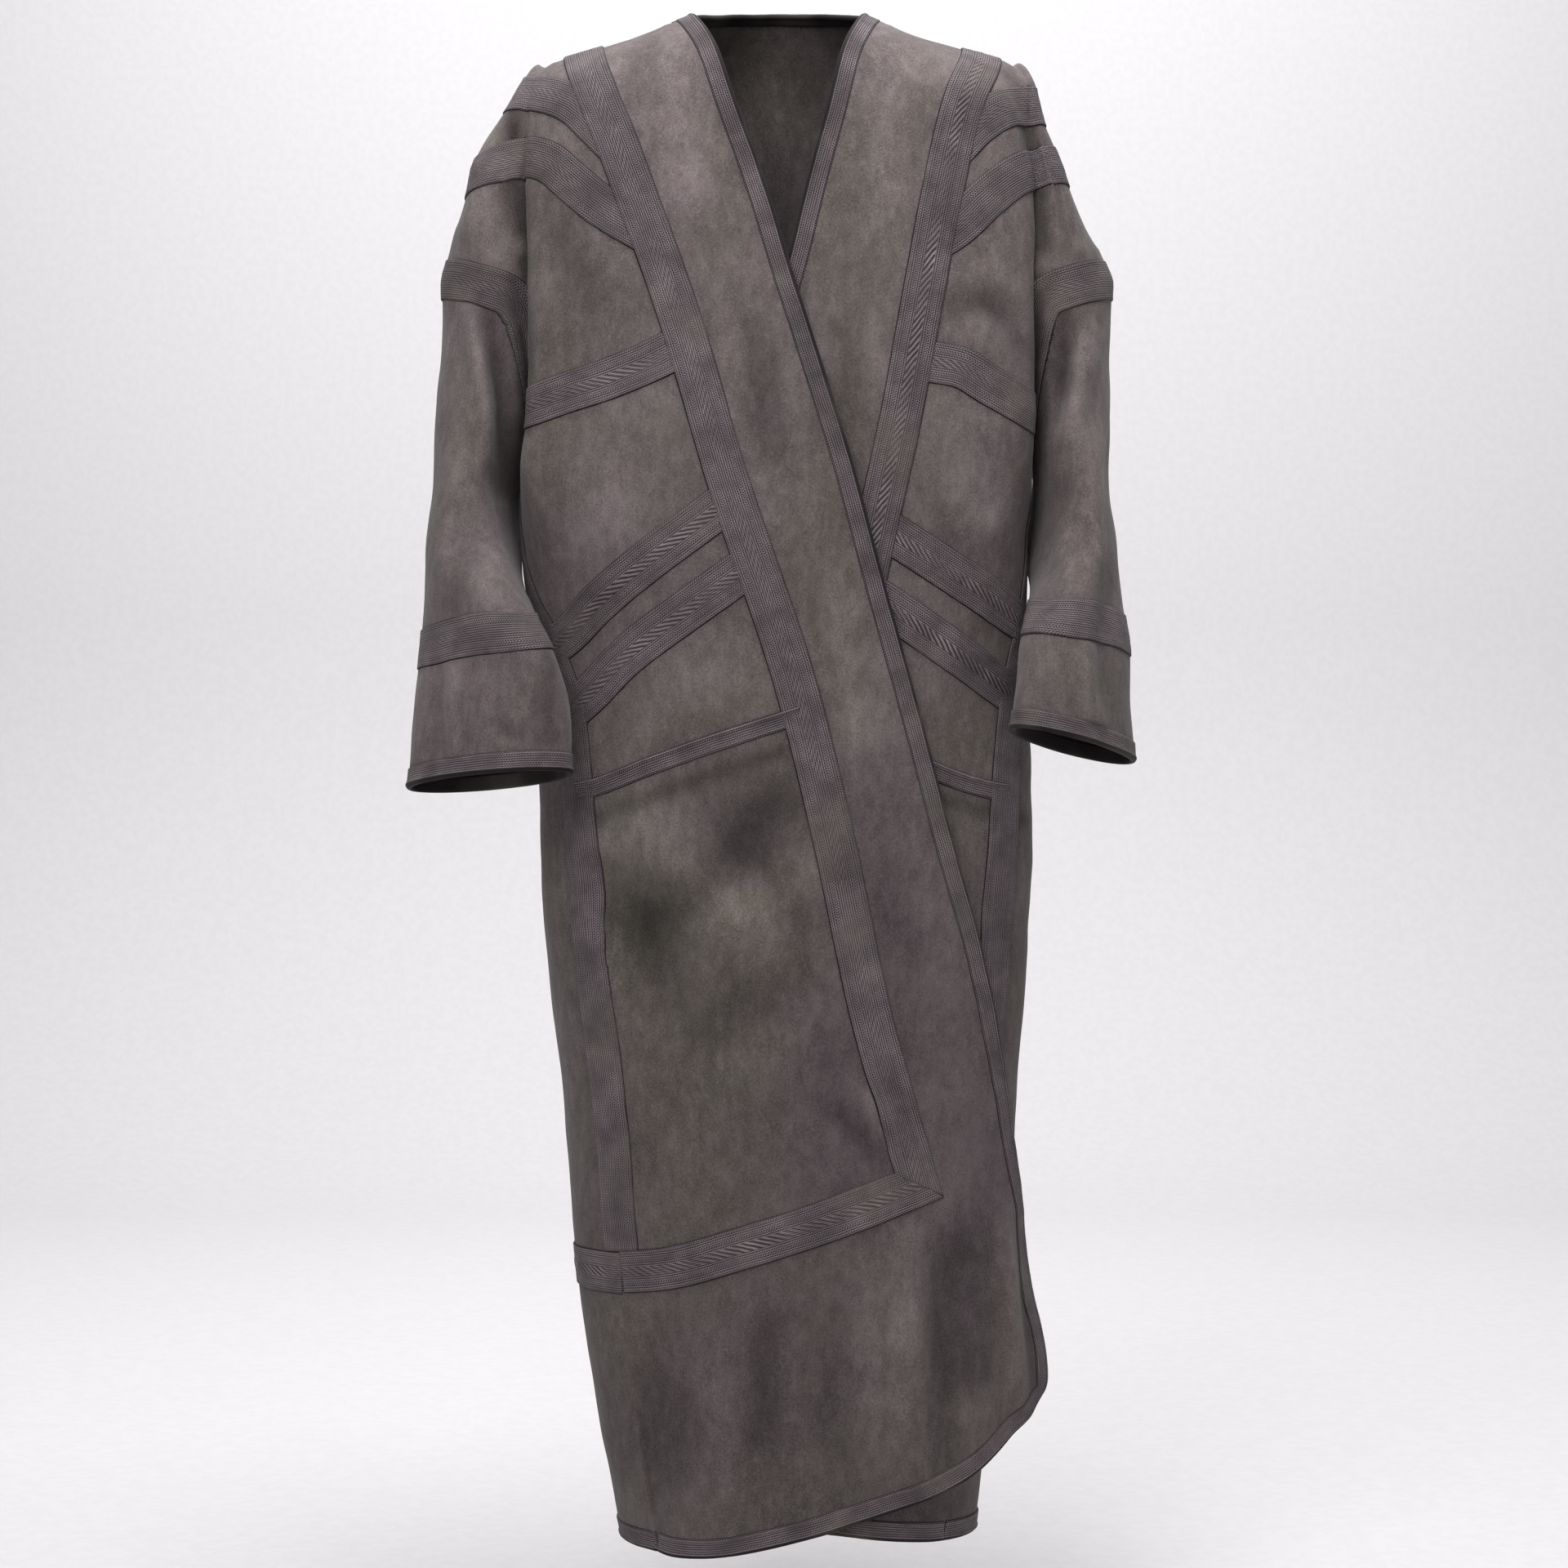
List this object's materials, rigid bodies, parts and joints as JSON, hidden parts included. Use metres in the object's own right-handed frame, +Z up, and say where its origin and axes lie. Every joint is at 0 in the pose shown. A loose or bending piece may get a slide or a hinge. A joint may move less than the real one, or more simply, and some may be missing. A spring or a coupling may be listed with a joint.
{
  "type": "wrap abaya",
  "caption": "Long wrap abaya in heavy brushed suede cloth, worn closed with the right front over the left, wide sleeves and jacquard braid along its seams.",
  "frame": {"origin": "midway between the two side neck points, on the shoulder line, where the wearer's shoulders carry the garment", "axes": "+X to the wearer's left, +Y to the wearer's back, +Z up"},
  "size_m": [0.6868, 0.2845, 1.475],
  "materials": {
    "suede": "brushed matt nap, mottled greenish to purplish grey",
    "braid": "jacquard braid with raised ribs, chevrons and a puckered twisted rope"
  },
  "bodies": {
    "root": {"back": "suede", "right_front": "suede", "left_front": "suede", "right_sleeve": "suede", "left_sleeve": "suede", "right_front_binding": "braid", "right_cuff_binding": "braid", "right_drop_band": "braid", "right_wrist_band": "braid", "right_side_band": "braid", "right_main_band": "braid", "right_chest_band": "braid", "right_upper_waist_band": "braid", "right_lower_waist_band": "braid", "right_pocket_binding": "braid", "right_upper_shoulder_band": "braid", "right_lower_shoulder_band": "braid", "left_front_binding": "braid", "left_cuff_binding": "braid", "left_drop_band": "braid", "left_wrist_band": "braid", "left_side_band": "braid", "left_main_band": "braid", "left_chest_band": "braid", "left_upper_waist_band": "braid", "left_lower_waist_band": "braid", "left_pocket_binding": "braid", "left_upper_shoulder_band": "braid", "left_lower_shoulder_band": "braid", "back_neck_binding": "braid", "back_hem_binding": "braid", "right_hem_band": "braid", "back_hem_band": "braid"}
  },
  "joints": []
}
